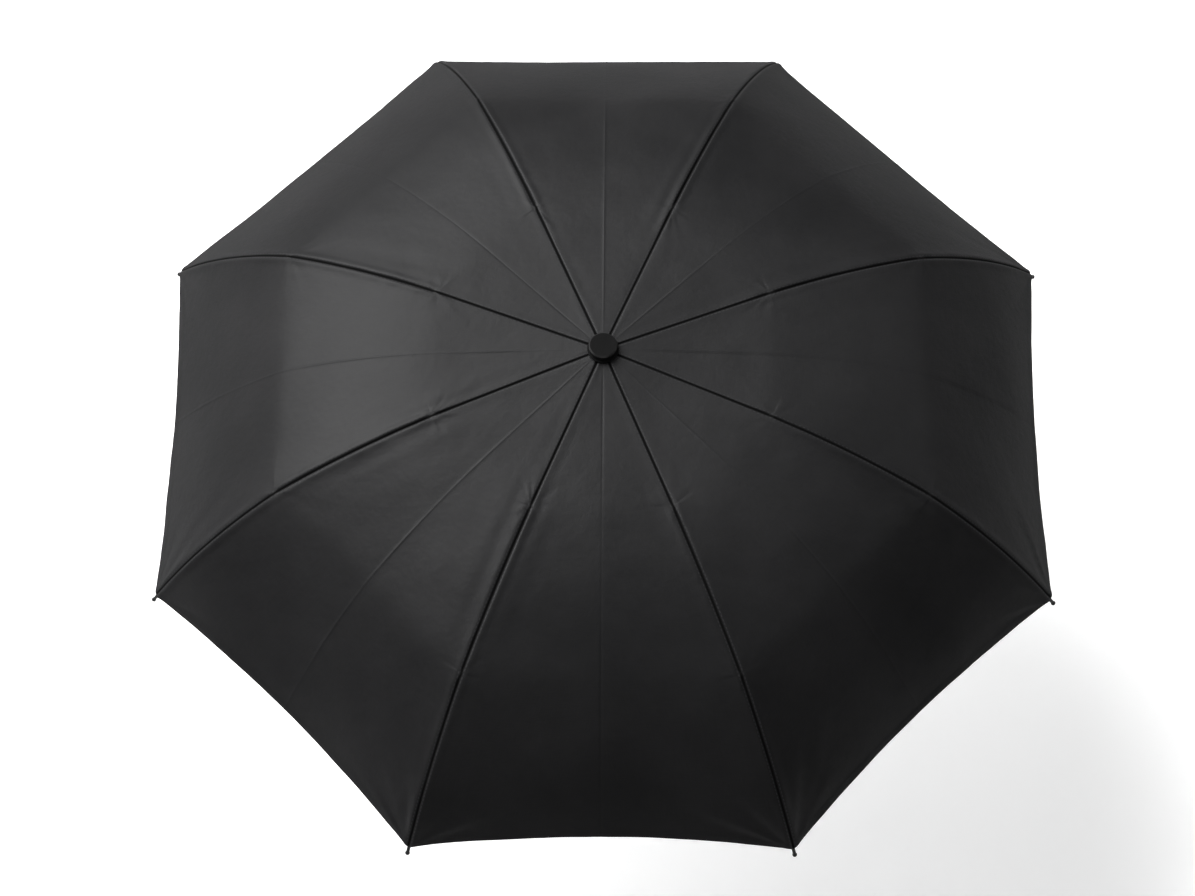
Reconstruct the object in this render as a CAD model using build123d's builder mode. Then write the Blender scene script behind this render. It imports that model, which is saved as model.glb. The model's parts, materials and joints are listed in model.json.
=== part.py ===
from build123d import *
import os
from math import atan2, cos, degrees, hypot, radians, sin, sqrt, tan

# Collapsible umbrella reflector: a cloth dome on eight ribs that fold in three, over a telescoping shaft.
# Millimetres. +Z runs up the shaft, and the origin is the shaft's free lower end.
# A rib lies in an upright plane through the shaft: x there is the distance from the shaft, y is height,
# and z is the distance to the rib's side.

# Driving dimensions: the dome's outline along a rib, from the apex to the corner at the rib's tip
RIB_COUNT = 8
FIRST_RIB_ANGLE = 22.5
APEX_HEIGHT = 620.6
ELBOW = (179.0, 611.0)
KNEE = (348.0, 569.0)
CORNER = (490.0, 440.0)
MID_CLOTH_BULGE = 6.5
OUTER_CLOTH_BULGE = 10.0
HEM_RISE = 17.0
CLOTH = 1.2
CLOTH_GAP = 0.6

# Rib sections: half of the height of each bar, and the widths that all of them share
TOP_HALF = 1.8
MID_HALF = 1.6
OUTER_HALF = 1.3
STRETCHER_HALF = 1.5
BAR_WIDTH = 2.4
FORK_WIDTH = 5.2
FORK_GAP = 2.7
EYE_RADIUS = 1.7
MID_RIB_BULGE = 4.8
OUTER_RIB_BULGE = 9.6
OUTER_RIB_DEPTH = 3.4
WIRE_START = 0.12
WIRE_END = 0.9

# Forks and lugs at the pivots
FORK_LENGTH = 14.0
ELBOW_SLOT = 6.5
KNEE_SLOT = 6.0
KNEE_SLOT_END = 4.0
STRETCHER_SLOT = 5.5
LUG_REACH = 4.0
LUG_FOOT = 1.0
EYE_REACH = 3.0

# Pivots: rivets, and how far each one stands off its rib's centre line so that the sections fold flat
RIVET_RADIUS = 0.7
RIVET_HEAD = 1.1
HEAD_HEIGHT = 0.3
RIVET_FIT = 0.02
FACE_GAP = 0.2
SLIDING_GAP = 0.4
PIVOT_FIT = 0.05
RING_FIT = 0.09
ELBOW_OFFSET = 3.0
KNEE_OFFSET = 2.8
STRETCHER_OFFSET = 3.8
STRETCHER_REACH = 100.0
STRETCHER_LENGTH = 130.0
CRANK_REACH = 10.6
CRANK_LENGTH = 10.0
CRANK_ANGLE = 156.0
LINK_HALF = 0.8
LINK_EYE = 1.5
LINK_SIDE = 3.1
LINK_THICKNESS = 1.0

# Rib tips
TIP_RADIUS = 1.75
TIP_BALL = 2.4
TIP_SLEEVE = 18.0
SPIGOT_RADIUS = 1.0
SPIGOT_LENGTH = 13.0
TIP_SETBACK = 9.0
TIP_SHOULDER_GAP = 0.1

# Shaft: three tubes, each sliding in the next
TUBE_FIT = 0.08
LOWER_RADIUS = 4.0
LOWER_BORE = 3.4
LOWER_TOP = 214.0
MID_RADIUS = 5.0
MID_BOTTOM = 179.0
MID_TOP = 394.0
UPPER_RADIUS = 6.0
UPPER_BOTTOM = 354.0
CRIMP_HEIGHT = 170.0
CRIMP_WIDTH = 1.6
CRIMP_DEPTH = 0.5
TELESCOPE_TRAVEL = 165.0
PLUG_LENGTH = 10.0
PLUG_INSET = 0.3
PLUG_CHAMFER = 0.5

# Crown, cap and runner
PIVOT_CIRCLE = 11.0
RING_WIRE = 0.6
SLOT_WIDTH = 2.8
CROWN_RADIUS = 14.0
CROWN_BOSS = 8.0
CROWN_FLOOR = 611.0
CROWN_BOTTOM = 601.0
CAP_RADIUS = 14.0
CAP_HEIGHT = 7.5
COLLAR_RADIUS = 15.6
COLLAR_HEIGHT = 1.2
CAP_CHAMFER = 1.2
STUD_RADIUS = 2.6
STUD_FOOT = 1.0
RUNNER_FLANGE = 14.0
RUNNER_SLEEVE = 8.4
RUNNER_GRIP = 9.4
RUNNER_LENGTH = 40.0
RUNNER_ABOVE_PIVOT = 3.0
GRIP_LENGTH = 10.0
GRIP_SLOPE = 4.0
FLANGE_DEPTH = 6.0
FLANGE_SLOPE = 2.0
TAB_WIDTH = 2.0
TAB_LENGTH = 8.0
CATCH_WIDTH = 2.6
CATCH_NOSE = 7.0
CATCH_NOSE_LENGTH = 4.0
CATCH_LENGTH = 14.0
CATCH_FOOT_GAP = 0.06
CATCH_GAP = 0.6
CUT_THROUGH = 1.0


def step(start, direction, along, aside=0.0):
    """The point along a direction, given in degrees below the horizontal, and aside to its upper side."""
    down = radians(direction)
    return (
        start[0] + along * cos(down) + aside * sin(down),
        start[1] - along * sin(down) + aside * cos(down),
    )


class Bow:
    """A shallow arc that bulges upwards from start to end, or a straight line when bulge is 0."""

    def __init__(self, start, end, bulge=0.0):
        self.start, self.end = start, end
        self.chord = hypot(end[0] - start[0], end[1] - start[1])
        self.slope = degrees(atan2(start[1] - end[1], end[0] - start[0]))
        self.half_turn = 2 * atan2(2 * bulge, self.chord)

    def direction(self, share):
        """Degrees below the horizontal at a share of the way along."""
        return self.slope + (2 * share - 1) * degrees(self.half_turn)

    def at(self, share, aside=0.0):
        """The point at a share of the way along, aside to the upper side."""
        if self.half_turn == 0:
            return step(self.start, self.slope, share * self.chord, aside)
        radius = self.chord / 2 / sin(self.half_turn)
        turn = (2 * share - 1) * self.half_turn
        along = self.chord / 2 + (radius + aside) * sin(turn)
        rise = (radius + aside) * cos(turn) - radius * cos(self.half_turn)
        return step(self.start, self.slope, along, rise)

    def edge(self, first, last, aside=0.0):
        """Draws the stretch between two shares into the BuildLine that is open."""
        if self.half_turn == 0:
            return Line(self.at(first, aside), self.at(last, aside))
        middle = (first + last) / 2
        return ThreePointArc(self.at(first, aside), self.at(middle, aside), self.at(last, aside))


# Joint positions in a rib's plane
apex = (0.0, APEX_HEIGHT)
lid = Bow(apex, ELBOW)
eye_depth = CLOTH + CLOTH_GAP + TOP_HALF
crown_pivot = (PIVOT_CIRCLE, lid.at(PIVOT_CIRCLE / ELBOW[0])[1] - eye_depth)
elbow_pivot = (ELBOW[0], ELBOW[1] - CLOTH - CLOTH_GAP - EYE_RADIUS)
top_run = elbow_pivot[0] - crown_pivot[0]
top_drop = crown_pivot[1] - elbow_pivot[1]
top_span = sqrt(top_run**2 + top_drop**2 - ELBOW_OFFSET**2)
top_slope = degrees(atan2(top_drop, top_run) + atan2(ELBOW_OFFSET, top_span))
top_line = Bow(crown_pivot, step(crown_pivot, top_slope, top_span))
mid_cloth = Bow(ELBOW, KNEE, MID_CLOTH_BULGE)
outer_cloth = Bow(KNEE, CORNER, OUTER_CLOTH_BULGE)
knee_slope = (mid_cloth.direction(1) + outer_cloth.direction(0)) / 2
knee_centre = step(KNEE, knee_slope, 0, -OUTER_RIB_DEPTH)
knee_pivot = step(knee_centre, knee_slope, 0, -KNEE_OFFSET)
mid_line = Bow(step(elbow_pivot, mid_cloth.slope, 0, -ELBOW_OFFSET), knee_centre, MID_RIB_BULGE)
tip_slope = outer_cloth.direction(1)
tip_start = step(step(CORNER, tip_slope, 0, -OUTER_RIB_DEPTH), tip_slope, -TIP_SETBACK)
outer_line = Bow(knee_centre, tip_start, OUTER_RIB_BULGE)
tip_line = outer_line.direction(1)
stretcher_pivot = step(crown_pivot, top_slope, STRETCHER_REACH, -STRETCHER_OFFSET)
runner_drop = sqrt(STRETCHER_LENGTH**2 - (stretcher_pivot[0] - PIVOT_CIRCLE) ** 2)
runner_pivot = (PIVOT_CIRCLE, stretcher_pivot[1] - runner_drop)
stretcher_line = Bow(runner_pivot, stretcher_pivot)
link_pivot = step(stretcher_pivot, stretcher_line.slope, -CRANK_REACH)
crank_end = step(elbow_pivot, top_slope + CRANK_ANGLE, CRANK_LENGTH)
link_line = Bow(link_pivot, crank_end)

crown_top = crown_pivot[1] + TOP_HALF
collar_bottom = APEX_HEIGHT + FACE_GAP
cap_bottom = collar_bottom + COLLAR_HEIGHT
cap_top = cap_bottom + CAP_HEIGHT
runner_bottom = runner_pivot[1] - RUNNER_LENGTH
rib_angles = [FIRST_RIB_ANGLE + 360 / RIB_COUNT * i for i in range(RIB_COUNT)]


def rib_plane(angle):
    """The upright plane of the rib at an angle round the shaft."""
    turn = radians(angle)
    return Plane(origin=(0, 0, 0), x_dir=(cos(turn), sin(turn), 0), z_dir=(sin(turn), -cos(turn), 0))


def strip(plane, line, half, width, first=0.0, last=1.0):
    """Adds a bar of constant height along a line, centred on the plane."""
    with BuildSketch(plane) as outline:
        with BuildLine():
            lower = line.edge(first, last, -half)
            upper = line.edge(first, last, half)
            Line(lower @ 0, upper @ 0)
            Line(lower @ 1, upper @ 1)
        make_face()
    extrude(outline.sketch, amount=width / 2, both=True)


def tongue(plane, ends, width, mode=Mode.ADD):
    """Adds or cuts a rounded plate round two or more circles, each (point, radius), centred on the plane."""
    with BuildSketch(plane) as outline:
        for point, radius in ends:
            with Locations(point):
                Circle(radius)
        if len(ends) > 1:
            make_hull()
    extrude(outline.sketch, amount=width / 2, both=True, mode=mode)


def hole(plane, point, radius, width=2 * FORK_WIDTH):
    """Cuts a round hole across the rib."""
    tongue(plane, [(point, radius)], width, mode=Mode.SUBTRACT)


def disc(plane, point, radius, low, high):
    """Adds a round pin or head across the rib, between two distances to its side."""
    with BuildSketch(plane.offset(low)) as outline:
        with Locations(point):
            Circle(radius)
    extrude(outline.sketch, amount=high - low)


def rivet(plane, point, low=-FORK_WIDTH / 2, high=FORK_WIDTH / 2, head_high=True):
    """Adds a rivet across the rib, between two sides, as a solid of its own."""
    disc(plane, point, RIVET_RADIUS, low - RIVET_FIT, high + RIVET_FIT * head_high)
    disc(plane, point, RIVET_HEAD, low - HEAD_HEIGHT, low - RIVET_FIT)
    if head_high:
        disc(plane, point, RIVET_HEAD, high + RIVET_FIT, high + HEAD_HEIGHT)


def save(piece, name):
    """Labels a finished piece and writes it as one STEP file."""
    piece.part.label = name
    export_step(piece.part, f"parts/{name}.step")


def make_top_rib(plane):
    """Inner rib section: an eye on the crown's ring wire, a lug for the stretcher and one for the elbow."""
    with BuildPart() as rib:
        strip(plane, top_line, TOP_HALF, BAR_WIDTH)
        elbow_root = step(crown_pivot, top_slope, top_span - LUG_REACH)
        under_elbow = step(crown_pivot, top_slope, top_span)
        elbow_lug = [(elbow_pivot, EYE_RADIUS), (under_elbow, TOP_HALF), (elbow_root, TOP_HALF)]
        tongue(plane, elbow_lug, BAR_WIDTH)
        before = step(crown_pivot, top_slope, STRETCHER_REACH - LUG_REACH)
        after = step(crown_pivot, top_slope, STRETCHER_REACH + LUG_REACH)
        stretcher_lug = [(stretcher_pivot, EYE_RADIUS), (before, LUG_FOOT), (after, LUG_FOOT)]
        tongue(plane, stretcher_lug, BAR_WIDTH)
        crown_eye = [(crown_pivot, TOP_HALF), (step(crown_pivot, top_slope, EYE_REACH), TOP_HALF)]
        tongue(plane, crown_eye, BAR_WIDTH)
        hole(plane, crown_pivot, RING_WIRE + RING_FIT)
        hole(plane, elbow_pivot, RIVET_RADIUS + PIVOT_FIT)
        hole(plane, stretcher_pivot, RIVET_RADIUS + PIVOT_FIT)
    return rib


def make_mid_rib(plane):
    """Middle rib section: a fork and crank at the elbow, a lug at the knee, and its spring wire."""
    fork_end = FORK_LENGTH / mid_line.chord
    with BuildPart() as rib:
        strip(plane, mid_line, MID_HALF, BAR_WIDTH, first=ELBOW_SLOT / mid_line.chord)
        strip(plane, mid_line, MID_HALF, FORK_WIDTH, first=0, last=fork_end)
        cheek = mid_line.at(fork_end / 2)
        tongue(plane, [(elbow_pivot, EYE_RADIUS), (cheek, MID_HALF)], FORK_WIDTH)
        tongue(plane, [(elbow_pivot, EYE_RADIUS), (crank_end, EYE_RADIUS)], FORK_WIDTH)
        tongue(plane, [(elbow_pivot, ELBOW_SLOT), (crank_end, 2 * EYE_RADIUS)], FORK_GAP, mode=Mode.SUBTRACT)
        knee_root = mid_line.at(1 - LUG_REACH / mid_line.chord)
        knee_lug = [(knee_pivot, EYE_RADIUS), (mid_line.at(1), MID_HALF), (knee_root, MID_HALF)]
        tongue(plane, knee_lug, BAR_WIDTH)
        hole(plane, elbow_pivot, RIVET_RADIUS + RIVET_FIT)
        hole(plane, crank_end, RIVET_RADIUS + PIVOT_FIT)
        hole(plane, knee_pivot, RIVET_RADIUS + PIVOT_FIT)
        rivet(plane, elbow_pivot)
        wire_side = plane.offset(BAR_WIDTH / 2 + RIVET_FIT + RING_WIRE)
        strip(wire_side, mid_line, RING_WIRE, 2 * RING_WIRE, first=WIRE_START, last=WIRE_END)
    return rib


def make_outer_rib(plane):
    """Outer rib section: a fork at the knee and a round spigot at the end, for the tip."""
    fork_end = FORK_LENGTH / outer_line.chord
    with BuildPart() as rib:
        strip(plane, outer_line, OUTER_HALF, BAR_WIDTH, first=KNEE_SLOT / outer_line.chord)
        strip(plane, outer_line, OUTER_HALF, FORK_WIDTH, first=0, last=fork_end)
        cheek = outer_line.at(fork_end / 2)
        cheeks = [(knee_pivot, EYE_RADIUS), (outer_line.at(0), OUTER_HALF), (cheek, OUTER_HALF)]
        tongue(plane, cheeks, FORK_WIDTH)
        tongue(plane, [(knee_pivot, KNEE_SLOT), (knee_centre, KNEE_SLOT_END)], FORK_GAP, mode=Mode.SUBTRACT)
        hole(plane, knee_pivot, RIVET_RADIUS + RIVET_FIT)
        rivet(plane, knee_pivot)
        with BuildSketch(tip_plane(plane)):
            Circle(SPIGOT_RADIUS)
        extrude(amount=SPIGOT_LENGTH)
    return rib


def tip_plane(plane):
    """The plane across the outer rib's end, facing along the rib."""
    end = plane.from_local_coords((*tip_start, 0))
    ahead = plane.from_local_coords((*step(tip_start, tip_line, 1), 0))
    return Plane(origin=end, z_dir=ahead - end)


def make_rib_tip(plane):
    """Tip: a sleeve over the spigot that holds the cloth's corner, with a ball at its end."""
    base = tip_plane(plane)
    with BuildPart() as tip:
        with BuildSketch(base.offset(TIP_SHOULDER_GAP)):
            Circle(TIP_RADIUS)
        extrude(amount=TIP_SLEEVE)
        with Locations(base.offset(TIP_SLEEVE)):
            Sphere(TIP_BALL)
        with BuildSketch(base):
            Circle(SPIGOT_RADIUS + RIVET_FIT)
        extrude(amount=SPIGOT_LENGTH + FACE_GAP, mode=Mode.SUBTRACT)
    return tip


def make_stretcher(plane):
    """Stretcher: a thin tab in the runner's slit, a bar, and a fork on the inner rib section."""
    fork_start = 1 - FORK_LENGTH / STRETCHER_LENGTH
    bar_start = TAB_LENGTH / STRETCHER_LENGTH
    bar_end = 1 - STRETCHER_SLOT / STRETCHER_LENGTH
    with BuildPart() as stretcher:
        strip(plane, stretcher_line, STRETCHER_HALF, BAR_WIDTH, first=bar_start, last=bar_end)
        strip(plane, stretcher_line, STRETCHER_HALF, TAB_WIDTH, last=bar_start)
        tongue(plane, [(runner_pivot, STRETCHER_HALF)], TAB_WIDTH)
        strip(plane, stretcher_line, STRETCHER_HALF, FORK_WIDTH, first=fork_start)
        tongue(plane, [(stretcher_pivot, EYE_RADIUS)], FORK_WIDTH)
        tongue(plane, [(stretcher_pivot, STRETCHER_SLOT)], FORK_GAP, mode=Mode.SUBTRACT)
        hole(plane, stretcher_pivot, RIVET_RADIUS + RIVET_FIT)
        hole(plane, link_pivot, RIVET_RADIUS + RIVET_FIT)
        rivet(plane, stretcher_pivot)
        rivet(plane, link_pivot, high=LINK_SIDE + LINK_THICKNESS, head_high=False)
    return stretcher


def make_control_link(plane):
    """Control link: a flat wire beside the rib, from the stretcher to the middle section's crank."""
    middle = plane.offset(LINK_SIDE + LINK_THICKNESS / 2)
    with BuildPart() as link:
        strip(middle, link_line, LINK_HALF, LINK_THICKNESS)
        tongue(middle, [(link_pivot, LINK_EYE)], LINK_THICKNESS)
        tongue(middle, [(crank_end, LINK_EYE)], LINK_THICKNESS)
        hole(plane, link_pivot, RIVET_RADIUS + PIVOT_FIT)
        hole(plane, crank_end, RIVET_RADIUS + PIVOT_FIT)
    return link


def add_tube(radius, bore, bottom, top):
    """Adds a round tube between two heights."""
    with BuildSketch(Plane.XY.offset(bottom)) as ring:
        Circle(radius)
        Circle(bore, mode=Mode.SUBTRACT)
    extrude(ring.sketch, amount=top - bottom)


def add_turned(outline):
    """Adds a body of revolution about the shaft, from its half outline as (radius, height) points."""
    with BuildSketch(Plane.XZ) as half:
        with BuildLine():
            Polyline(*outline, close=True)
        make_face()
    revolve(half.sketch, axis=Axis.Z)


def cut_slots(inner, outer, bottom, top):
    """Cuts the slots that the ribs' or stretchers' ends sit in, from a radius outwards."""
    for angle in rib_angles:
        with BuildSketch(rib_plane(angle)) as slot:
            with Locations(((inner + outer) / 2, (bottom + top) / 2)):
                Rectangle(outer - inner, top - bottom)
        extrude(slot.sketch, amount=SLOT_WIDTH / 2, both=True, mode=Mode.SUBTRACT)


os.makedirs("parts", exist_ok=True)

# Rib assemblies
for number, angle in enumerate(rib_angles, start=1):
    own_plane = rib_plane(angle)
    save(make_top_rib(own_plane), f"top_rib_{number}")
    save(make_mid_rib(own_plane), f"mid_rib_{number}")
    save(make_outer_rib(own_plane), f"outer_rib_{number}")
    save(make_rib_tip(own_plane), f"rib_tip_{number}")
    save(make_stretcher(own_plane), f"stretcher_{number}")
    save(make_control_link(own_plane), f"control_link_{number}")

# Shaft tubes, with a crimp round the lower one that ends its free length
with BuildPart() as shaft_lower:
    add_tube(LOWER_RADIUS, LOWER_BORE, 0, LOWER_TOP)
    with BuildSketch(Plane.XY.offset(CRIMP_HEIGHT)):
        Circle(LOWER_RADIUS)
        Circle(LOWER_RADIUS - CRIMP_DEPTH, mode=Mode.SUBTRACT)
    extrude(amount=CRIMP_WIDTH, mode=Mode.SUBTRACT)
save(shaft_lower, "shaft_lower")

# The catch's window in the upper tube, and one in the middle tube that lies under it when the shaft is short
catch_top = runner_bottom - CATCH_GAP
catch_bottom = catch_top - CATCH_LENGTH
catch_centre = (catch_top + catch_bottom) / 2
with BuildPart() as shaft_mid:
    add_tube(MID_RADIUS, LOWER_RADIUS + TUBE_FIT, MID_BOTTOM, MID_TOP)
    with BuildSketch(Plane.YZ):
        with Locations((0, catch_centre - TELESCOPE_TRAVEL)):
            Rectangle(CATCH_WIDTH + 2 * SLIDING_GAP, CATCH_LENGTH + 5 * SLIDING_GAP)
    extrude(amount=2 * MID_RADIUS, mode=Mode.SUBTRACT)
save(shaft_mid, "shaft_mid")

with BuildPart() as shaft_upper:
    add_tube(UPPER_RADIUS, MID_RADIUS + TUBE_FIT, UPPER_BOTTOM, CROWN_FLOOR)
    with BuildSketch(Plane.YZ):
        with Locations((0, catch_centre)):
            Rectangle(CATCH_WIDTH + 2 * FACE_GAP, CATCH_LENGTH + 3 * FACE_GAP)
    extrude(amount=2 * UPPER_RADIUS, mode=Mode.SUBTRACT)
save(shaft_upper, "shaft_upper")

with BuildPart() as shaft_end_plug:
    with BuildSketch(Plane.XY.offset(PLUG_INSET)):
        Circle(LOWER_BORE - RIVET_FIT)
    extrude(amount=PLUG_LENGTH)
    chamfer(shaft_end_plug.edges().group_by(Axis.Z)[0], PLUG_CHAMFER)
save(shaft_end_plug, "shaft_end_plug")

# Catch: a wedge in the upper tube's window, which stops the runner from sliding down
catch_foot = MID_RADIUS + TUBE_FIT + CATCH_FOOT_GAP
with BuildPart() as runner_catch:
    with BuildSketch(Plane.XZ):
        with BuildLine():
            Polyline(
                (catch_foot, catch_bottom),
                (catch_foot, catch_top),
                (CATCH_NOSE, catch_top),
                (CATCH_NOSE, catch_top - CATCH_NOSE_LENGTH),
                (UPPER_RADIUS, catch_bottom),
                close=True,
            )
        make_face()
    extrude(amount=CATCH_WIDTH / 2, both=True)
save(runner_catch, "runner_catch")

# Crown: a slotted disc on the tube's top, with a ring wire through the ribs' eyes
socket_end = CROWN_FLOOR + FACE_GAP
crown_outline = [
    (STUD_RADIUS + RIVET_FIT, socket_end),
    (UPPER_RADIUS + RIVET_FIT, socket_end),
    (UPPER_RADIUS + RIVET_FIT, CROWN_BOTTOM),
    (CROWN_BOSS, CROWN_BOTTOM),
    (CROWN_BOSS, CROWN_FLOOR),
    (CROWN_RADIUS, CROWN_FLOOR),
    (CROWN_RADIUS, crown_top),
    (STUD_RADIUS + RIVET_FIT, crown_top),
]
ring_plane = Plane.XY.offset(crown_pivot[1])
with BuildPart() as crown:
    add_turned(crown_outline)
    slot_root = CROWN_BOSS - SLIDING_GAP
    cut_slots(slot_root, 2 * CROWN_RADIUS, CROWN_BOTTOM - CUT_THROUGH, crown_top + CUT_THROUGH)
    with Locations(ring_plane):
        Torus(PIVOT_CIRCLE, RING_WIRE + RIVET_FIT, mode=Mode.SUBTRACT)
save(crown, "crown")

with BuildPart() as crown_ring_wire:
    with Locations(ring_plane):
        Torus(PIVOT_CIRCLE, RING_WIRE)
save(crown_ring_wire, "crown_ring_wire")

# Cap and the collar under it, which clamp the cloth to the crown
with BuildPart() as cap_collar:
    with BuildSketch(Plane.XY.offset(collar_bottom)):
        Circle(COLLAR_RADIUS)
        Circle(STUD_RADIUS + RIVET_FIT, mode=Mode.SUBTRACT)
    extrude(amount=COLLAR_HEIGHT - RIVET_FIT)
save(cap_collar, "cap_collar")

with BuildPart() as top_cap:
    with BuildSketch(Plane.XY.offset(cap_bottom)):
        Circle(CAP_RADIUS)
    extrude(amount=CAP_HEIGHT)
    chamfer(top_cap.edges().group_by(Axis.Z)[-1], CAP_CHAMFER)
    with BuildSketch(Plane.XY.offset(CROWN_FLOOR + STUD_FOOT)):
        Circle(STUD_RADIUS)
    extrude(amount=cap_bottom - CROWN_FLOOR - STUD_FOOT)
save(top_cap, "top_cap")

# Runner: a sleeve on the upper tube, with a slit for each stretcher and a keyway over the catch
runner_bore = UPPER_RADIUS + TUBE_FIT
runner_top = runner_pivot[1] + RUNNER_ABOVE_PIVOT
flange_bottom = runner_top - FLANGE_DEPTH
runner_outline = [
    (runner_bore, runner_bottom),
    (RUNNER_GRIP, runner_bottom),
    (RUNNER_GRIP, runner_bottom + GRIP_LENGTH),
    (RUNNER_SLEEVE, runner_bottom + GRIP_LENGTH + GRIP_SLOPE),
    (RUNNER_SLEEVE, flange_bottom - FLANGE_SLOPE),
    (RUNNER_FLANGE, flange_bottom),
    (RUNNER_FLANGE, runner_top),
    (runner_bore, runner_top),
]
with BuildPart() as runner:
    add_turned(runner_outline)
    slot_bottom = flange_bottom - FLANGE_SLOPE - CUT_THROUGH
    cut_slots(RUNNER_SLEEVE + SLIDING_GAP, 2 * RUNNER_FLANGE, slot_bottom, runner_top + CUT_THROUGH)
    with BuildSketch(Plane.XY.offset(runner_bottom)):
        with Locations(((runner_bore + CATCH_NOSE) / 2, 0)):
            Rectangle(CATCH_NOSE - runner_bore + 2 * SLIDING_GAP, CATCH_WIDTH + 2 * SLIDING_GAP)
    extrude(amount=runner_top - runner_bottom, mode=Mode.SUBTRACT)
save(runner, "runner")

# Cloth dome: eight flat-pulled gores with hollow hems, joined along the ribs, with a hole for the cap's stud
half_gore = radians(180 / RIB_COUNT)
hem_side = CORNER[0] * sin(half_gore)
hem_bottom = CORNER[1] - CLOTH
wedge_reach = 1.1 * CORNER[0]
with BuildPart() as gore:
    with BuildSketch(Plane.XZ):
        with BuildLine():
            flat = cos(half_gore)
            for height in (0, -CLOTH):
                for line in (lid, mid_cloth, outer_cloth):
                    points = [line.at(share) for share in (0, 0.5, 1)]
                    first, middle, last = [(reach * flat, top + height) for reach, top in points]
                    if line is lid:
                        Line(first, last)
                    else:
                        ThreePointArc(first, middle, last)
            Line((0, APEX_HEIGHT), (0, APEX_HEIGHT - CLOTH))
            Line((CORNER[0] * flat, CORNER[1]), (CORNER[0] * flat, hem_bottom))
        make_face()
    extrude(amount=hem_side + CUT_THROUGH, both=True)
    with BuildSketch(Plane.XY.offset(hem_bottom - CLOTH)):
        wedge_side = wedge_reach * tan(half_gore)
        Polygon((0, 0), (wedge_reach, -wedge_side), (wedge_reach, wedge_side), align=None)
    extrude(amount=APEX_HEIGHT, mode=Mode.INTERSECT)
    with BuildSketch(Plane.YZ):
        with BuildLine():
            ThreePointArc((-hem_side, hem_bottom), (0, CORNER[1] + HEM_RISE), (hem_side, hem_bottom))
            Line((-hem_side, hem_bottom), (hem_side, hem_bottom))
        make_face()
    extrude(amount=CORNER[0], mode=Mode.SUBTRACT)

with BuildPart() as canopy:
    with PolarLocations(0, RIB_COUNT):
        add(gore.part)
    with BuildSketch(Plane.XY.offset(CORNER[1])):
        Circle(STUD_RADIUS + SLIDING_GAP)
    extrude(amount=APEX_HEIGHT, mode=Mode.SUBTRACT)
save(canopy, "canopy")
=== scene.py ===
import json
from math import atan2, cos, hypot, pi, radians, sin

import bpy
import numpy as np
from mathutils import Matrix, Vector


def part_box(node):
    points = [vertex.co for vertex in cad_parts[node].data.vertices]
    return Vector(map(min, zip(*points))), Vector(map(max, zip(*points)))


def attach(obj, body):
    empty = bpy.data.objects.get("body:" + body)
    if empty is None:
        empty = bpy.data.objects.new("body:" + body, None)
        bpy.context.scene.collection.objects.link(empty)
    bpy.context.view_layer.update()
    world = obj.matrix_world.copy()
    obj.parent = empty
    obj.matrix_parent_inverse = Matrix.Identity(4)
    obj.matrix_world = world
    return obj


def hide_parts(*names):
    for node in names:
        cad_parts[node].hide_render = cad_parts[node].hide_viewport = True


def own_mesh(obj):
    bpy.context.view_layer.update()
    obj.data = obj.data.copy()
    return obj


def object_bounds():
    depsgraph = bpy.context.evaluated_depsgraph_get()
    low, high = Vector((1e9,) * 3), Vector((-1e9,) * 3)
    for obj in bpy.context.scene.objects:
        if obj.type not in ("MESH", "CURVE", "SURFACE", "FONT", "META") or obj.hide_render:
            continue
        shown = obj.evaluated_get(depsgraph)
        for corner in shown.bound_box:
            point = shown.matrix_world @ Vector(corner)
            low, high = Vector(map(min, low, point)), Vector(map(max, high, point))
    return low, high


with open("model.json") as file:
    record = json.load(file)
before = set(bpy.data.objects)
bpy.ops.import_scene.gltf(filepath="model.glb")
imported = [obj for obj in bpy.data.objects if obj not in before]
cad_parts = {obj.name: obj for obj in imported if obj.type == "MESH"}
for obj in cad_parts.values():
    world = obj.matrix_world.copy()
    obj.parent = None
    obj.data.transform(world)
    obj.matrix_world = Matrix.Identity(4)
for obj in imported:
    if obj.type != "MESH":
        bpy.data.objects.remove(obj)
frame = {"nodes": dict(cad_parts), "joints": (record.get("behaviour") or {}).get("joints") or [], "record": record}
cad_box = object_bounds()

# Umbrella reflector: black cloth dome, silver inside, on eight folding ribs and a telescoping shaft.
# Metres, in the frame of the CAD model: +Z up the shaft, origin at the shaft's free lower end.

RIBS = 8
HALF_GORE = pi / RIBS
RIB_ANGLES = [HALF_GORE + 2 * pi / RIBS * i for i in range(RIBS)]


# ---------------------------------------------------------------- the dome's outline along a rib
# Points are (distance from the shaft, height). Joints come from the frame.

def joint_point(name):
    """A hinge's place in its rib's plane, as (distance from the shaft, height)."""
    x, y, z = next(j["pos_m"] for j in frame["joints"] if j["name"] == name)
    return np.array((hypot(x, y), z))


CLOTH_BUILD = 0.0012                # height that the CAD dome's cloth takes
CLOTH_THICKNESS = 0.0004
OVER_ELBOW = 0.0035                 # the cloth's height over the elbow's pin
OVER_KNEE = 0.0062                  # and over the knee's, square to the slope there
KNEE_SLOPE = radians(26.4)
OVER_APEX = 0.00016
HUB_RADIUS = 0.0145                 # hole in the cloth's middle, under the cap
MID_BULGE = 0.0065                  # rise of the middle section over a straight line
OUTER_BULGE = 0.010
HEM_IN = 0.075                      # share of the outer section that the hem's middle is drawn in by
BEND_SOFTNESS = 0.008
OUTLINE_STEP = 0.001

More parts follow.
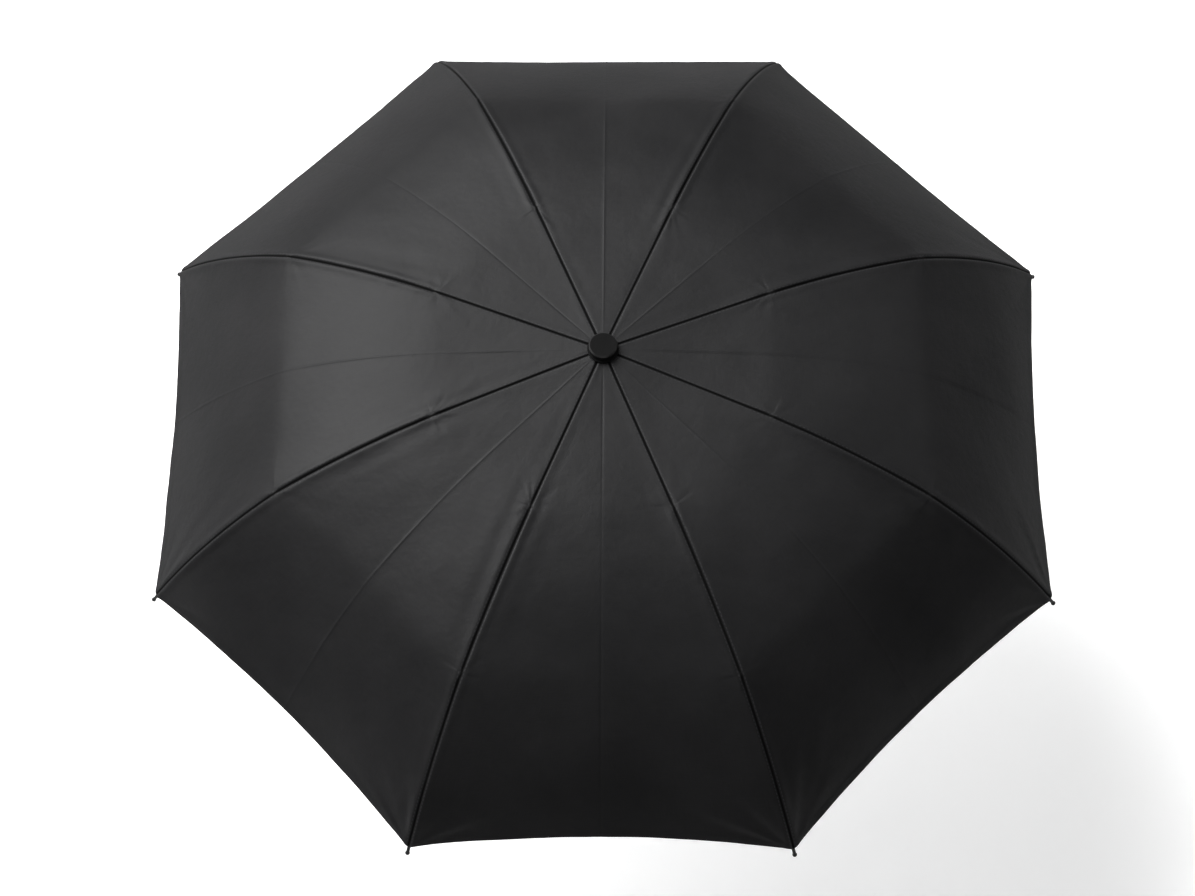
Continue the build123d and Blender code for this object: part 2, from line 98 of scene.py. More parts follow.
canopy_low, canopy_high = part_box("canopy")
APEX_HEIGHT = canopy_high.z + OVER_APEX
CORNER = np.array((canopy_high.x / cos(HALF_GORE), canopy_low.z + CLOTH_BUILD))
ELBOW = joint_point("elbow_hinge_1") + (0, OVER_ELBOW)
KNEE = joint_point("knee_hinge_1") + OVER_KNEE * np.array((sin(KNEE_SLOPE), cos(KNEE_SLOPE)))


def bow(start, end, bulge, share):
    """Points of a shallow arc from start to end, at shares of the way."""
    chord = end - start
    if bulge == 0:
        return start + np.outer(share, chord)
    length = np.hypot(*chord)
    along = chord / length
    up = np.array((-along[1], along[0]))
    half_turn = 2 * atan2(2 * bulge, length)
    radius = length / 2 / sin(half_turn)
    turn = (2 * share - 1) * half_turn
    return (start + np.outer(length / 2 + radius * np.sin(turn), along)
            + np.outer(radius * (np.cos(turn) - cos(half_turn)), up))


def dense_outline():
    """The seam's line from the hub to the corner, in small steps and with its bends softened."""
    hub = np.array((0.0, APEX_HEIGHT))
    stretches = []
    for start, end, bulge in ((hub, ELBOW, 0), (ELBOW, KNEE, MID_BULGE), (KNEE, CORNER, OUTER_BULGE)):
        count = int(np.hypot(*(end - start)) / OUTLINE_STEP)
        stretches.append(bow(start, end, bulge, np.linspace(0, 1, count, endpoint=False)))
    line = np.vstack(stretches + [CORNER[None]])
    reach = int(3 * BEND_SOFTNESS / OUTLINE_STEP)
    kernel = np.exp(-0.5 * (np.arange(-reach, reach + 1) * OUTLINE_STEP / BEND_SOFTNESS) ** 2)
    kernel /= kernel.sum()
    lead = line[0] - (line[1] - line[0]) * np.arange(reach, 0, -1)[:, None]
    tail = line[-1] + (line[-1] - line[-2]) * np.arange(1, reach + 1)[:, None]
    padded = np.vstack([lead, line, tail])
    soft = np.column_stack([np.convolve(padded[:, k], kernel, mode="valid") for k in (0, 1)])
    length = np.concatenate([[0], np.cumsum(np.hypot(*np.diff(soft, axis=0).T))])
    return soft, length


OUTLINE, OUTLINE_LENGTH = dense_outline()


def outline_at(length):
    """(distance from the shaft, height) at distances along the seam."""
    return [np.interp(length, OUTLINE_LENGTH, OUTLINE[:, k]) for k in (0, 1)]


def length_at(radius):
    """Distance along the seam where it is a given distance from the shaft."""
    return np.interp(radius, OUTLINE[:, 0], OUTLINE_LENGTH)


HUB_LENGTH = length_at(HUB_RADIUS)
ELBOW_LENGTH = length_at(ELBOW[0])
KNEE_LENGTH = length_at(KNEE[0])
CORNER_LENGTH = float(OUTLINE_LENGTH[-1])


# ---------------------------------------------------------------- smooth noise and fades for the cloth

class Noise:
    """Smooth random values on a plane, between -1 and 1, the same each time for one seed."""

    SIZE = 64

    def __init__(self, seed):
        self.grid = np.random.RandomState(seed).uniform(-1, 1, (self.SIZE, self.SIZE))

    def __call__(self, x, y, waves, start=(0, 0)):
        """Values at x and y, in waves of the two lengths given, counted from a place on the grid."""
        x, y = x / waves[0] + start[0], y / waves[1] + start[1]
        column, row = np.floor(x).astype(int), np.floor(y).astype(int)
        across, down = x - column, y - row
        across, down = across * across * (3 - 2 * across), down * down * (3 - 2 * down)
        return (self.on_row(row, column, across) * (1 - down)
                + self.on_row(row + 1, column, across) * down)

    def on_row(self, row, column, across):
        """Values on a row of the grid, some of the way across from a column to the next."""
        here = self.grid[row % self.SIZE, column % self.SIZE]
        after = self.grid[row % self.SIZE, (column + 1) % self.SIZE]
        return here * (1 - across) + after * across


def fade(x, reach):
    """1 at x = 0, falling to about a third at reach."""
    return np.exp(-x / reach)


def hump(x, width):
    """1 at x = 0, falling smoothly to 0 a few widths away on both sides."""
    return np.exp(-(x / width) ** 2)


def window(x, low, high, soft):
    """1 between low and high, fading over soft outside them."""
    return (1 + np.tanh((x - low) / soft / 2)) * (1 - np.tanh((x - high) / soft / 2)) / 4


# ---------------------------------------------------------------- the cloth's surface

# columns of a half gore, from its seam at 0 to the gore's middle at 1, and the rows of each section
COLUMNS = np.array([0, .004, .008, .013, .02, .03, .042, .056, .074, .096, .122, .155, .195, .24, .29, .345,
                    .405, .465, .525, .585, .645, .70, .755, .805, .85, .89, .925, .955, .978, .990, .996, 1])
ROWS = {"top": 44, "elbow": 8, "mid": 50, "knee": 8, "outer": 62}
PAST_JOINT = 0.002                  # how far past an elbow or a knee its cut starts
SEAM_BLEND = 0.0016                 # width over which the two halves beside a seam come together


def past_fold(joint, end, share):
    """Length, at shares of the half gore, of the line that starts just past a joint, square to the rib.

    end is the far end of the section past the joint. Cloth beyond this line never reaches back over the
    joint when the rib folds."""
    slope = atan2(joint[1] - end[1], end[0] - joint[0])
    slant = (sin(HALF_GORE) * cos(slope)) ** 2
    return length_at(joint[0] / (1 - slant * share)) + PAST_JOINT


def row_lengths(share):
    """Length of each row at each column: the rows of a section spread between the section's two ends."""
    drawn = 1 - HEM_IN * (1 - (1 - share) ** 2)
    stops = [
        HUB_LENGTH + 0 * share,
        ELBOW_LENGTH + 0 * share,
        past_fold(ELBOW, KNEE, share),
        KNEE_LENGTH + 0 * share,
        past_fold(KNEE, CORNER, share),
        KNEE_LENGTH + (CORNER_LENGTH - KNEE_LENGTH) * drawn,
    ]
    blocks = [stops[0]]
    for count, start, end in zip(ROWS.values(), stops, stops[1:]):
        blocks.append(start + np.linspace(0, 1, count)[1:, None] * (end - start))
    return np.vstack(blocks)


# The functions below return how far the cloth stands off its plain surface, in metres. length is measured
# along the seam, seam_gap and hem_gap within the cloth, and middle is the signed distance from the gore's
# middle. near_side fades out what is random at the seam itself and at the middle. The noise called gore is
# the same on both halves of a gore, so neighbouring halves meet.

FAR = 2                             # a length well past the hem, for a window with no far end


def seam_relief(length, seam_gap, near_side, noise):
    """The stitched seam's groove, and the puff that the seam allowance gives the cloth beside it."""
    past_elbow = window(length, ELBOW_LENGTH - 0.006, FAR, 0.008)
    past_knee = window(length, KNEE_LENGTH, FAR, 0.02)
    groove_depth = 0.0010 + 0.0006 * past_elbow - 0.0004 * past_knee
    groove_width = 0.0011 + 0.0004 * past_elbow
    puff_height = 0.00008 + 0.00055 * past_elbow
    puff_gap, puff_width = 0.0048, 0.0036
    uneven = 1 + 0.35 * noise(length, 0 * seam_gap, waves=(0.012, 1))
    puff = puff_height * uneven * hump(seam_gap - puff_gap, puff_width) * near_side
    return puff - groove_depth * hump(seam_gap, groove_width)


def middle_fold(length, middle, gore, number):
    """The fold line down a gore's middle, left from being folded away. It is a dent on every third gore."""
    height, width = (0.00028 if number % 3 else -0.00026), 0.0009
    uneven = 0.75 + 0.4 * gore(length, 0 * length, waves=(0.06, 1), start=(0, 3))
    return height * uneven * hump(middle, width) * window(length, HUB_LENGTH + 0.02, FAR, 0.01)


def slack(length, seam_gap, middle, gore):
    """Slack over the whole gore, in broad waves and small ones."""
    broad_height, small_height = 0.0012, 0.00022
    broad = gore(middle, length, waves=(0.075, 0.070), start=(20, 5)) * (1 - fade(seam_gap, 0.03))
    small = gore(middle, length, waves=(0.021, 0.026), start=(31, 12)) * (1 - fade(seam_gap, 0.012))
    return broad_height * broad + small_height * small


def streaks(length, seam_gap, near_side, noise):
    """Streaks that run with the ribs, most of all over the middle section."""
    strong_height, faint_height = 0.00058, 0.00022
    over_middle = window(length, ELBOW_LENGTH - 0.01, KNEE_LENGTH + 0.012, 0.012)
    strong = noise(seam_gap, length, waves=(0.0090, 0.13), start=(7, 0)) * fade(seam_gap, 0.036) * over_middle
    faint = noise(seam_gap, length, waves=(0.011, 0.09), start=(23, 0)) * fade(seam_gap, 0.05)
    return (strong_height * strong + faint_height * faint) * near_side


def corner_folds(length, seam_gap, near_side, noise):
    """Folds that fan out of the corner at the rib's tip."""
    height = 0.0019
    reach = np.hypot(seam_gap, CORNER_LENGTH - length)
    angle = np.arctan2(seam_gap, CORNER_LENGTH - length)
    fan = noise(angle, reach, waves=(0.17, 0.14), start=(3, 40))
    return height * fan * fade(reach, 0.060) * (1 - hump(reach, 0.034)) * near_side


def tie_folds(length, seam_gap, near_side, noise, tie, height):
    """Small folds that pull out of a tie point."""
    reach = np.hypot(seam_gap, length - tie)
    angle = np.arctan2(length - tie, seam_gap)
    pull = noise(angle, reach, waves=(0.28, 0.05), start=(tie * 50, 17))
    return height * pull * fade(reach, 0.020) * (1 - hump(reach, 0.011)) * near_side


def cap_puckers(length, seam_gap, near_side, noise):
    """Puckers round the cap, which widen away from it."""
    height = 0.0006
    from_cap = length - HUB_LENGTH
    width = 0.0030 + 0.08 * np.maximum(from_cap, 0)
    pleat = noise(seam_gap, length, waves=(width, 0.05), start=(50, 0))
    return height * pleat * fade(from_cap, 0.022) * near_side


def hem_relief(length, middle, hem_gap, off_seam, gore):
    """The hem's turned band with its stitch groove, small puckers on it, and broader ones above it."""
    band_height, band_width, band_soft = 0.00035, 0.0085, 0.0006
    groove_gap, groove_width = 0.0070, 0.0008
    small_height, broad_height = 0.00016, 0.0003
    past_knee = window(length, KNEE_LENGTH, FAR, 0.02)
    band = window(-hem_gap, -band_width, FAR, band_soft) - hump(hem_gap - groove_gap, groove_width)
    small = gore(middle, hem_gap, waves=(0.0080, 0.02), start=(60, 0)) * fade(hem_gap, 0.010)
    broad = gore(middle, hem_gap, waves=(0.042, 0.06), start=(70, 0)) * fade(hem_gap, 0.035) * past_knee
    return band_height * band + (small_height * small + broad_height * broad) * off_seam


def relief(rib, side, length, seam_gap, middle, hem_gap, share):
    """How far the cloth stands off its plain surface, from all of the above.

    share runs from 0 at the seam to 1 at the middle."""
    number = rib + (side > 0)
    noise, gore = Noise(100 + rib + number), Noise(300 + number % RIBS)
    off_seam = 1 - hump(seam_gap, SEAM_BLEND)
    near_side = (1 - share) ** 2 * (1 + 2 * share) * off_seam
    out = (seam_relief(length, seam_gap, near_side, noise) + middle_fold(length, middle, gore, number)
           + slack(length, seam_gap, middle, gore) + streaks(length, seam_gap, near_side, noise)
           + corner_folds(length, seam_gap, near_side, noise))
    # the joint's knuckle holds the cloth up just past each tie
    knuckle_gap, knuckle_width, knuckle_lift = 0.0015, 0.0040, 0.0002
    for tie, fold_height in ((ELBOW_LENGTH, 0.0009), (KNEE_LENGTH, 0.0007)):
        out += tie_folds(length, seam_gap, near_side, noise, tie, fold_height)
        on_knuckle = hump(np.hypot(seam_gap, length - tie - knuckle_gap), knuckle_width)
        out += on_knuckle * (knuckle_lift - out)
    out += cap_puckers(length, seam_gap, near_side, noise)
    return out + hem_relief(length, middle, hem_gap, off_seam, gore)


def level(turn):
    """The level direction at an angle round the shaft."""
    return np.array((cos(turn), sin(turn), 0))


def chord_axis(rib, side):
    """The level direction across the gore, from one rib to the next."""
    middle = RIB_ANGLES[rib] + side * HALF_GORE
    return np.array((-sin(middle), cos(middle), 0))


def half_gore(rib, side):
    """The cloth on one side of a rib, as grids of rows and columns: points, normals, seam gap and length.

    It is worked out with one column more, past the gore's middle, so its normals match the other half's."""
    columns = np.append(COLUMNS, 2 - COLUMNS[-2])[None, :]
    share = np.minimum(columns, 2 - columns)
    length = row_lengths(share)
    radius, height = outline_at(length)
    half_width = radius * sin(HALF_GORE)
    seam_gap, from_middle = half_width * share, side * half_width * (1 - columns)
    ahead, across = level(RIB_ANGLES[rib] + side * HALF_GORE), chord_axis(rib, side)
    base = (radius * cos(HALF_GORE))[..., None] * ahead - from_middle[..., None] * across
    base[..., 2] += height

    def normals_of(points):
        with_rows = np.gradient(points, axis=0)
        with_columns = np.gradient(points, columns[0], axis=1)
        normal = np.cross(with_rows, with_columns)
        normal /= np.linalg.norm(normal, axis=2)[..., None]
        return -normal if normal[..., 2].mean() < 0 else normal

    lift = relief(rib, side, length, seam_gap, -from_middle, length[-1] - length, share)
    # at the seam both halves are lifted the same way, square to the rib
    out = level(RIB_ANGLES[rib])
    along = np.gradient(base[:, 0], axis=0)
    off_rib = np.outer(-along[:, 2], out) + np.outer(along @ out, (0, 0, 1))
    off_rib /= np.linalg.norm(off_rib, axis=1)[:, None]
    at_seam = hump(seam_gap, SEAM_BLEND)[..., None]
    direction = at_seam * off_rib[:, None] + (1 - at_seam) * normals_of(base)
    points = base + lift[..., None] * direction
    return [grid[:, :-1] for grid in (points, normals_of(points), seam_gap, length)]


def shell(name, points, normals, seam_gap, length, materials):
    """A thin closed piece of cloth from a grid: black side out, silver side in, with a UV map in metres."""
    rows, columns = points.shape[:2]
    outer = points.reshape(-1, 3)
    inner = (points - CLOTH_THICKNESS * normals).reshape(-1, 3)
    count = rows * columns
    index = np.arange(count).reshape(rows, columns)
    a, b, c, d = index[:-1, :-1], index[1:, :-1], index[1:, 1:], index[:-1, 1:]
    quads = np.stack([a, b, c, d], axis=-1).reshape(-1, 4)
    first = outer[quads[0]]
    if np.dot(np.cross(first[1] - first[0], first[3] - first[0]), normals[0, 0]) < 0:
        quads = quads[:, ::-1]
    rim = np.concatenate([index[0, :-1], index[:-1, -1], index[-1, :0:-1], index[:0:-1, 0]])
    after = np.roll(rim, -1)
    walls = np.stack([rim, after, after + count, rim + count], axis=-1)
    both_sides = np.vstack([outer, inner])
    edge = both_sides[walls[0]]
    inward = outer[index[rows // 2, columns // 2]] - edge[0]
    if np.dot(np.cross(edge[1] - edge[0], edge[3] - edge[0]), inward) > 0:
        walls = walls[:, ::-1]
    faces = np.concatenate([quads, quads[:, ::-1] + count, walls])
    mesh = bpy.data.meshes.new(name)
    mesh.from_pydata(both_sides.tolist(), [], faces.tolist())
    side = np.concatenate([np.zeros(len(quads)), np.ones(len(quads)), np.zeros(len(walls))]).astype(int)
    mesh.polygons.foreach_set("material_index", side)
    mesh.polygons.foreach_set("use_smooth", np.ones(len(faces), bool))
    for material in materials:
        mesh.materials.append(material)
    uv = mesh.uv_layers.new(name="cloth")
    flat = np.column_stack([seam_gap.ravel(), length.ravel()])
    corners = np.empty(len(mesh.loops), int)
    mesh.loops.foreach_get("vertex_index", corners)
    uv.data.foreach_set("uv", flat[corners % count].ravel())
    both = np.vstack([normals.reshape(-1, 3), -normals.reshape(-1, 3)])
    mesh.normals_split_custom_set_from_vertices(both.tolist())
    piece = bpy.data.objects.new(name, mesh)
    bpy.context.scene.collection.objects.link(piece)
    return piece


# ---------------------------------------------------------------- materials

def new_material(name):
    """A material, its node tree and its Principled shader."""
    material = bpy.data.materials.new(name)
    material.use_nodes = True
    tree = material.node_tree
    return material, tree, tree.nodes["Principled BSDF"]


def node(tree, kind, values=None, **inputs):
    """Adds a node, sets its properties, and sets or links its inputs by name."""
    made = tree.nodes.new("ShaderNode" + kind)
    for key, value in (values or {}).items():
        setattr(made, key, value)
    for key, value in inputs.items():
        socket = made.inputs[int(key[1:])] if key[0] == "_" and key[1:].isdigit() else made.inputs[key]
        if hasattr(value, "links"):
            tree.links.new(value, socket)
        else:
            socket.default_value = value
    return made


def math(tree, operation, *values):
    """A Math node's result."""
    numbered = {f"_{i}": value for i, value in enumerate(values)}
    return node(tree, "Math", {"operation": operation}, **numbered).outputs[0]


def ramp(tree, value, start, end, first, last):
    """A value that runs from first to last while another runs from start to end."""
    return node(tree, "MapRange", Value=value, _1=start, _2=end, _3=first, _4=last).outputs[0]


def grainy(tree, vector, scale, strength, depth):
    """A normal roughened by fine noise."""
    noise = node(tree, "TexNoise", Vector=vector, Scale=scale, Detail=3.0)
    return node(tree, "Bump", Strength=strength, Distance=depth, Height=noise.outputs["Fac"]).outputs[0]


def weave(tree, vector, thread):
    """Height of a plain weave with a given thread width, from coordinates in metres."""
    parts = node(tree, "SeparateXYZ", Vector=vector)
    waves = []
    for socket, shift in ((parts.outputs[0], 0.0), (parts.outputs[1], pi / 2)):
        turned = math(tree, "MULTIPLY_ADD", socket, pi / thread, shift)
        waves.append(math(tree, "ABSOLUTE", math(tree, "SINE", turned)))
    return math(tree, "MAXIMUM", *waves)


def thread_slubs(tree, uv):
    """Thicker and thinner stretches of thread, along and across the cloth, around a value of 0.5 each."""
    across_thread, along_thread = 1500, 70      # waves per metre
    streaks = []
    for scale in ((across_thread, along_thread, 1), (along_thread, across_thread, 1)):
        stretched = node(tree, "VectorMath", {"operation": "MULTIPLY"}, _0=uv, _1=scale)
        streak = node(tree, "TexNoise", Vector=stretched.outputs[0], Scale=1.0, Detail=2.0)
        streaks.append(streak.outputs["Fac"])
    return math(tree, "ADD", *streaks)


STITCH_GAP = 0.0026                 # from the seam to the row of stitches
STITCH_HALF_WIDTH = 0.00045
STITCH_PITCH = 0.0042
STITCH_SPACE = 0.42                 # share of the pitch that is bare
GROOVE_SHADE_EDGES = (0.0009, 0.0018)     # where the painted shade in the seam's groove starts to fade, and where it ends
OUTER_THREAD = 0.00045
INNER_THREAD = 0.0006


def cloth_outside():
    """Black umbrella cloth: a fine tight weave, with painted shade in the seam's groove and a row of stitches at
    the seam.
    """
    material, tree, shader = new_material("black_cloth")
    uv = node(tree, "UVMap", {"uv_map": "cloth"}).outputs[0]
    place = node(tree, "SeparateXYZ", Vector=uv)
    across, along = place.outputs[0], place.outputs[1]
    # stitches: short dashes just beside the seam
    from_row = math(tree, "ABSOLUTE", math(tree, "SUBTRACT", across, STITCH_GAP))
    beside = math(tree, "LESS_THAN", from_row, STITCH_HALF_WIDTH)
    in_pitch = math(tree, "FRACT", math(tree, "DIVIDE", along, STITCH_PITCH))
    stitch = math(tree, "MULTIPLY", beside, math(tree, "GREATER_THAN", in_pitch, STITCH_SPACE))
    # painted shade: the seam's groove is darkened in the base colour, and its roughness is raised there
    groove_shade_mask = ramp(tree, across, *GROOVE_SHADE_EDGES, 1.0, 0.0)
    cloud = node(tree, "TexNoise", Vector=node(tree, "TexCoord").outputs["Object"], Scale=9.0, Detail=4.0)
    shade = node(tree, "ValToRGB", Fac=cloud.outputs["Fac"])
    tones = ((0.32, (0.0078, 0.0078, 0.0082, 1)), (0.70, (0.0122, 0.0121, 0.0126, 1)))
    for element, (position, colour) in zip(shade.color_ramp.elements, tones):
        element.position, element.color = position, colour
    slubs = thread_slubs(tree, uv)
    shade = node(tree, "MixRGB", {"blend_type": "MULTIPLY"}, Fac=0.5, Color1=shade.outputs[0], Color2=slubs)
    # painted shade in the seam's groove: a near-black colour mixed over the cloth's own tone
    groove_painted_shade = node(tree, "MixRGB", Fac=groove_shade_mask, Color1=shade.outputs[0], Color2=(0.0012, 0.0012, 0.0012, 1))
    stitched = node(tree, "MixRGB", Fac=stitch, Color1=groove_painted_shade.outputs[0], Color2=(0.020, 0.020, 0.021, 1))
    tree.links.new(stitched.outputs[0], shader.inputs["Base Color"])
    rough = math(tree, "MULTIPLY_ADD", cloud.outputs["Fac"], 0.06, 0.42)
    # seen at a low angle the weave scatters more, so its gloss spreads out
    edge_on = math(tree, "POWER", node(tree, "LayerWeight", Blend=0.5).outputs["Facing"], 2.0)
    rough = math(tree, "MULTIPLY_ADD", edge_on, 0.55, rough)
    dull = math(tree, "MAXIMUM", rough, groove_shade_mask)
    tree.links.new(dull, shader.inputs["Roughness"])
    shader.inputs["IOR"].default_value = 1.20
    crumple = node(tree, "TexNoise", Vector=node(tree, "TexCoord").outputs["Object"], Scale=130.0, Detail=5.0)
    soft = node(tree, "Bump", Strength=0.22, Distance=0.0012, Height=crumple.outputs["Fac"])
    threads = math(tree, "MULTIPLY_ADD", slubs, 1.5, weave(tree, uv, OUTER_THREAD))
    height = math(tree, "MULTIPLY_ADD", stitch, 2.5, threads)
    fine = node(tree, "Bump", Strength=0.25, Distance=0.0001, Height=height, Normal=soft.outputs[0])
    tree.links.new(fine.outputs[0], shader.inputs["Normal"])
    return material


def cloth_inside():
    """Silver coating on the inside: metallic, soft, faintly textured by the weave below it."""
    material, tree, shader = new_material("silver_coating")
    uv = node(tree, "UVMap", {"uv_map": "cloth"}).outputs[0]
    cloud = node(tree, "TexNoise", Vector=uv, Scale=70.0, Detail=5.0)
    shade = node(tree, "MixRGB", Fac=cloud.outputs["Fac"], Color1=(0.62, 0.62, 0.63, 1),
                 Color2=(0.74, 0.74, 0.745, 1))
    tree.links.new(shade.outputs[0], shader.inputs["Base Color"])
    tree.links.new(math(tree, "MULTIPLY_ADD", cloud.outputs["Fac"], 0.16, 0.30), shader.inputs["Roughness"])
    shader.inputs["Metallic"].default_value = 0.85
    bump = node(tree, "Bump", Strength=0.3, Distance=0.0001, Height=weave(tree, uv, INNER_THREAD))
    tree.links.new(bump.outputs[0], shader.inputs["Normal"])
    return material


def worn(name, dark, light, roughness, metallic, grain, coat=0.0, specular=0.5):
    """A hard material: a colour that drifts between two tones, roughness that follows it, a fine grain."""
    material, tree, shader = new_material(name)
    place = node(tree, "TexCoord").outputs["Object"]
    broad = node(tree, "TexNoise", Vector=place, Scale=45.0, Detail=6.0)
    shade = node(tree, "MixRGB", Fac=broad.outputs["Fac"], Color1=(*dark, 1), Color2=(*light, 1))
    tree.links.new(shade.outputs[0], shader.inputs["Base Color"])
    spread = math(tree, "MULTIPLY_ADD", broad.outputs["Fac"], 0.16, roughness - 0.08)
    tree.links.new(spread, shader.inputs["Roughness"])
    shader.inputs["Metallic"].default_value = metallic
    shader.inputs["Specular IOR Level"].default_value = specular
    shader.inputs["Coat Weight"].default_value = coat
    tree.links.new(grainy(tree, place, grain, 0.25, 0.00012), shader.inputs["Normal"])
    return material


def cap_plastic():
    """The cap's plastic: a matt grained face, and edges and sides polished by handling."""
    material, tree, shader = new_material("cap_plastic")
    place = node(tree, "TexCoord").outputs["Object"]
    broad = node(tree, "TexNoise", Vector=place, Scale=60.0, Detail=5.0)
    shade = node(tree, "MixRGB", Fac=broad.outputs["Fac"], Color1=(0.004, 0.004, 0.004, 1),
                 Color2=(0.007, 0.007, 0.007, 1))
    tree.links.new(shade.outputs[0], shader.inputs["Base Color"])
    upward = node(tree, "SeparateXYZ", Vector=node(tree, "NewGeometry").outputs["Normal"]).outputs[2]
    polish = ramp(tree, upward, 0.985, 0.999, 1.0, 0.0)
    tree.links.new(polish, shader.inputs["Coat Weight"])
    shader.inputs["Coat Roughness"].default_value = 0.40
    tree.links.new(math(tree, "MULTIPLY_ADD", broad.outputs["Fac"], 0.14, 0.36), shader.inputs["Roughness"])
    shader.inputs["Specular IOR Level"].default_value = 0.02
    tree.links.new(grainy(tree, place, 2200.0, 0.25, 0.0001), shader.inputs["Normal"])
    return material


GLOW = 0.35
# painted light: the floor's glow is centred where the key light's shadow falls, to lighten that shadow
GLOW_CENTRE = (0.30, -0.35, 0)
GLOW_FADE = (0.9, 1.5)              # distances from its centre where the glow starts to fade, and is gone


def pale_floor():
    """The stage's floor: plain, matt and pale, with painted light: a glow, strongest where the key light's shadow
    falls, that lightens the shadows on it.
    """
    material, tree, shader = new_material("pale_floor")
    shader.inputs["Base Color"].default_value = (0.9, 0.9, 0.9, 1)
    shader.inputs["Roughness"].default_value = 0.9
    place = node(tree, "TexCoord").outputs["Object"]
    away = node(tree, "VectorMath", {"operation": "DISTANCE"}, _0=place, _1=GLOW_CENTRE)
    shader.inputs["Emission Color"].default_value = (1, 1, 1, 1)
    glow = ramp(tree, away.outputs["Value"], *GLOW_FADE, GLOW, 0.0)
    tree.links.new(glow, shader.inputs["Emission Strength"])
    return material


BLACK_CLOTH = cloth_outside()
SILVER = cloth_inside()
# name, darkest and lightest colour, roughness, metallic and scale of the grain
SLOT_MATERIALS = {
    "steel_rib": worn("black_steel", (0.012, 0.012, 0.013), (0.03, 0.03, 0.031), 0.38, 0, 900, coat=0.2),
    "outer_rib": worn("black_bar", (0.012, 0.012, 0.013), (0.028, 0.028, 0.03), 0.42, 0, 700),
    "steel_wire": worn("bright_wire", (0.50, 0.50, 0.51), (0.66, 0.66, 0.67), 0.28, 1, 1500),
    "tip_metal": worn("black_tip", (0.006, 0.006, 0.006), (0.012, 0.012, 0.012), 0.42, 0, 1200, specular=0.3),
    "moulded_black": worn("moulded_nylon", (0.010, 0.010, 0.010), (0.018, 0.018, 0.018), 0.55, 0, 1800),
    "cap_black": cap_plastic(),
    "tube_plated": worn("plated_tube", (0.46, 0.46, 0.47), (0.60, 0.60, 0.61), 0.24, 1, 600),
    "tube_black": worn("painted_tube", (0.010, 0.010, 0.011), (0.022, 0.022, 0.023), 0.34, 0, 700, coat=0.3),
    "canopy_cloth": BLACK_CLOTH,
}


# ---------------------------------------------------------------- the dome's pieces

# each section of the cloth: the body it rides on, and the share of its width that is left when folded
SECTIONS = {
    "top": ("top_rib", 0.075),
    "elbow": ("mid_rib", 0.03),
    "mid": ("mid_rib", 0.070),
    "knee": ("outer_rib", 0.03),
    "outer": ("outer_rib", 0.080),
}


def section_rows():
    """The name, first row and last row of each section."""
    first = 0
    for name, count in ROWS.items():
        last = first + count - 1
        yield name, first, last
        first = last


def fold_axis(rib, side, start, end):
    """The direction within the cloth, square to its seam, that a piece gathers along."""
    along = level(RIB_ANGLES[rib]) * (end[0] - start[0]) + np.array((0, 0, end[1] - start[1]))
    along /= np.linalg.norm(along)
    chord = chord_axis(rib, side)
    square = chord - chord.dot(along) * along
    return square / np.linalg.norm(square)


def declare_sheet(seam_gap, length):
    """Works out the area of each cell of the piece of cloth, between neighbouring columns and rows; nothing is
    summed, kept or returned.
    """
    spans = np.gradient(length, axis=0)
    strips = (seam_gap[:, 1:] - seam_gap[:, :-1]) * (spans[:, 1:] + spans[:, :-1]) / 2
    strips[[0, -1]] /= 2            # the end rows have cloth on one side only


def make_dome():
    """Sixteen half gores, each cut past the elbow and the knee, that follow their rib's three sections."""
    for rib in range(RIBS):
        for side in (-1, 1):
            grid = half_gore(rib, side)
            for section, first, last in section_rows():
                part = [g[first:last + 1] for g in grid]
                label = f"cloth_{section}_{rib + 1}_{'left' if side < 0 else 'right'}"
                piece = shell(label, *part, (BLACK_CLOTH, SILVER))
                body, keep = SECTIONS[section]
                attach(piece, f"{body}_{rib + 1}")
                seam = part[0][:, 0]
                if section in ("elbow", "knee"):
                    axis, anchor = chord_axis(rib, side), seam[0]
                else:
                    flat_seam = [(hypot(p[0], p[1]), p[2]) for p in (seam[0], seam[-1])]
                    axis, anchor = fold_axis(rib, side, *flat_seam), seam.mean(axis=0)
                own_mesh(piece)
                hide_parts("canopy")
                declare_sheet(part[2], part[3])


make_dome()

for name, obj in frame["nodes"].items():
    part_slot = next(s["material_slot"] for s in frame["record"]["subparts"] if s["node"] == name)
    obj.data.materials.clear()
    obj.data.materials.append(SLOT_MATERIALS[part_slot])


# ---------------------------------------------------------------- stage, lights and camera

FLOOR_RADIUS = 3.6
FLOOR_GAP = 0.001
AROUND_LIGHT = 0.08                 # the surroundings' strength as light, and as the camera sees them
AROUND_SEEN = 0.80
SOFT_BOX_SIZE = 3.2
SOFT_BOX_DISTANCE = 4.2
# azimuth and elevation in degrees, power in watts, and spread in degrees
SOFT_BOXES = {
    "key": (136, 46, 122, 85),
    "left_fill": (180, 32, 40, 180),
    "front_fill": (270, 45, 22, 180),
    "top_fill": (80, 62, 23, 180),
    "right_fill": (20, 40, 34, 180),
}
CAMERA_TURNS = (("Z", -0.0036), ("Y", -0.0104), ("X", -0.4521))     # in radians
CAMERA_OFFSET = (0.0140, 0.0377, -6.3765)   # the hem's centre in the camera's own axes, in corner radii
LENS = 90.77
SENSOR_WIDTH = 36


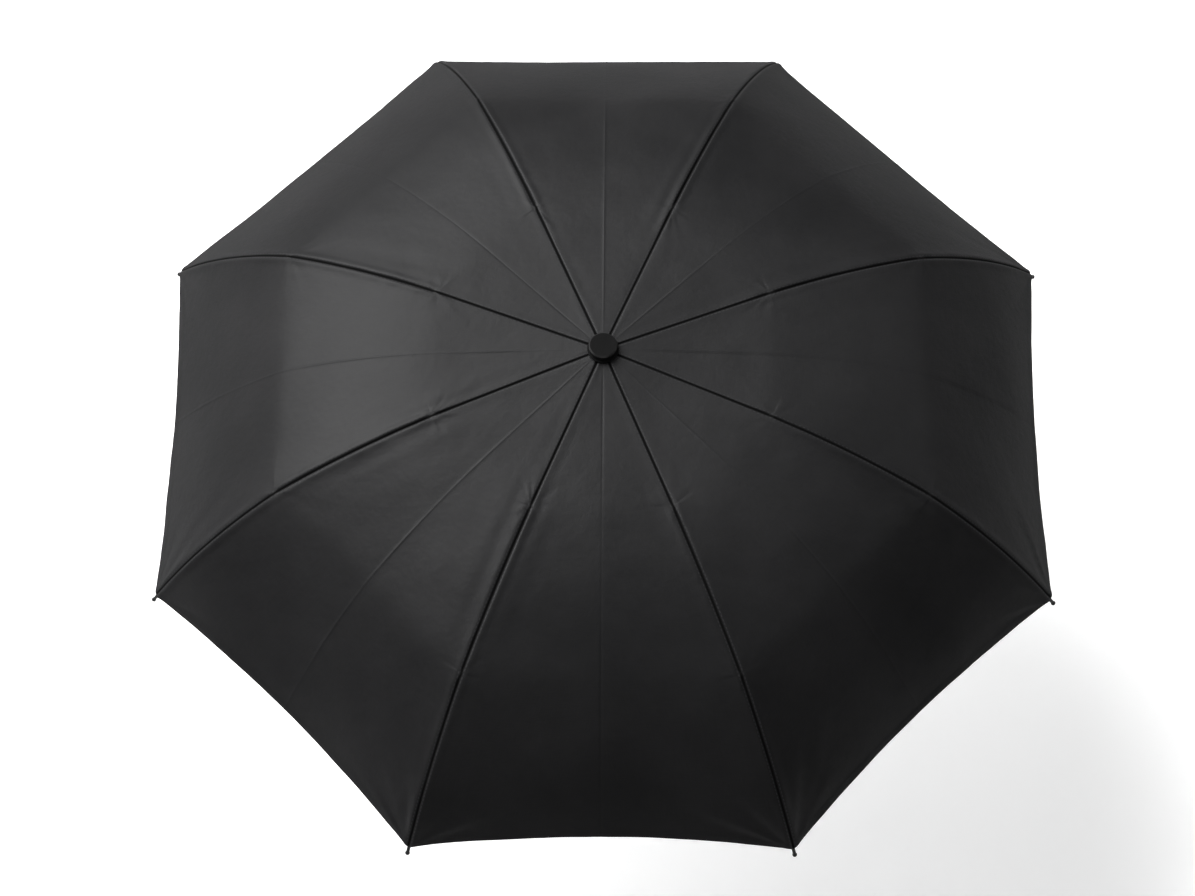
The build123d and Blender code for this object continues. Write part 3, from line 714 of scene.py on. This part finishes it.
def make_floor():
    """A plain pale floor under the object."""
    place = (0, 0, cad_box[0].z - FLOOR_GAP)
    bpy.ops.mesh.primitive_circle_add(vertices=128, radius=FLOOR_RADIUS, fill_type="NGON", location=place)
    floor = bpy.context.object
    floor.name = "floor"
    floor.data.materials.append(pale_floor())


def soft_box(name, azimuth, elevation, power, spread):
    """A square soft box in a direction from the dome, turned towards it. A grid limits its spread."""
    turn, lift = radians(azimuth), radians(elevation)
    aim = Vector((0, 0, CORNER[1]))
    away = Vector((cos(turn) * cos(lift), sin(turn) * cos(lift), sin(lift)))
    light = bpy.data.lights.new(name, "AREA")
    light.shape = "SQUARE"
    light.size = SOFT_BOX_SIZE
    light.energy = power
    light.spread = radians(spread)
    obj = bpy.data.objects.new(name, light)
    bpy.context.scene.collection.objects.link(obj)
    obj.location = aim + SOFT_BOX_DISTANCE * away
    obj.rotation_mode = "QUATERNION"
    obj.rotation_quaternion = away.to_track_quat("Z", "Y")


def make_surroundings():
    """A plain pale background that itself lights the object only a little."""
    world = bpy.data.worlds.new("studio")
    world.use_nodes = True
    tree = world.node_tree
    seen = node(tree, "LightPath").outputs["Is Camera Ray"]
    strength = ramp(tree, seen, 0.0, 1.0, AROUND_LIGHT, AROUND_SEEN)
    background = tree.nodes["Background"]
    background.inputs["Color"].default_value = (1, 1, 1, 1)
    tree.links.new(strength, background.inputs["Strength"])
    bpy.context.scene.world = world


def make_camera():
    """A long lens that looks down on the dome, tilted off its axis."""
    turn = Matrix.Identity(3)
    for axis, angle in CAMERA_TURNS:
        turn = turn @ Matrix.Rotation(angle, 3, axis)
    back = turn.transposed()
    place = back @ -(Vector(CAMERA_OFFSET) * CORNER[0]) + Vector((0, 0, CORNER[1]))
    data = bpy.data.cameras.new("camera")
    data.lens = LENS
    data.sensor_width = SENSOR_WIDTH
    camera = bpy.data.objects.new("camera", data)
    bpy.context.scene.collection.objects.link(camera)
    camera.matrix_world = Matrix.Translation(place) @ back.to_4x4()
    bpy.context.scene.camera = camera


make_floor()
make_camera()
for box_name, settings in SOFT_BOXES.items():
    soft_box(box_name, *settings)
make_surroundings()
bpy.context.scene.view_settings.view_transform = "Standard"
